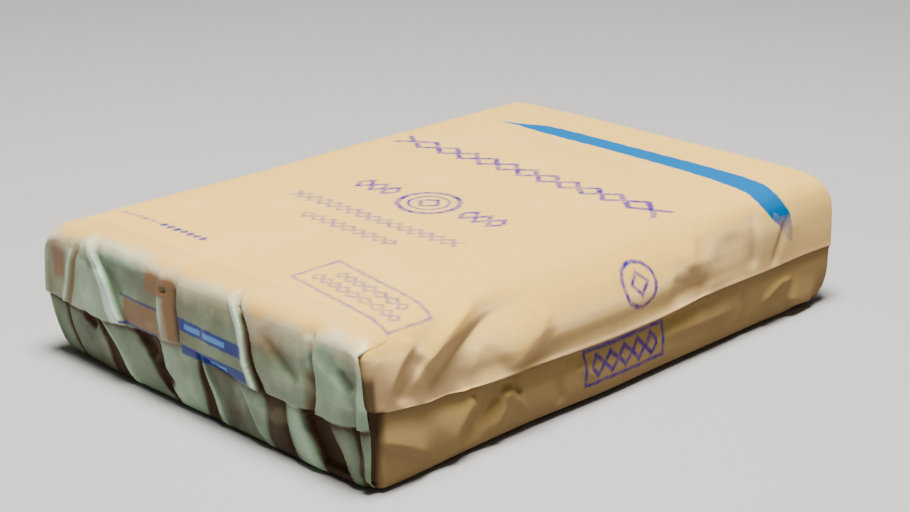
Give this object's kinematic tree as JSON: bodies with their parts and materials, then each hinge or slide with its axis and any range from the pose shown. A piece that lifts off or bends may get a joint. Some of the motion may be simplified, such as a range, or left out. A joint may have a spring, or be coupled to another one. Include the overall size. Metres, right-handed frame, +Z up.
{
  "type": "cement sack",
  "caption": "Filled kraft paper cement sack lying flat, with a grey-green sheet pasted over its near short end and a plain kraft sheet pasted over its far short end.",
  "frame": {"origin": "on the floor, under the middle of the sack", "axes": "+X along the sack from the near short end to the far one, +Y across it, +Z up"},
  "size_m": [0.51, 0.3614, 0.11],
  "materials": {
    "kraft_paper": "brown sack kraft paper, matt, creased, with a plain blue stripe and line figures",
    "coated_end_paper": "thin grey-green coated paper, slightly shiny, crumpled into pleats, with two plain blue bars",
    "kraft_end_paper": "brown sack kraft paper, matt, creased"
  },
  "bodies": {
    "root": {"sack_body": "kraft_paper", "near_end_cover": "coated_end_paper", "far_end_cover": "kraft_end_paper"}
  },
  "joints": []
}
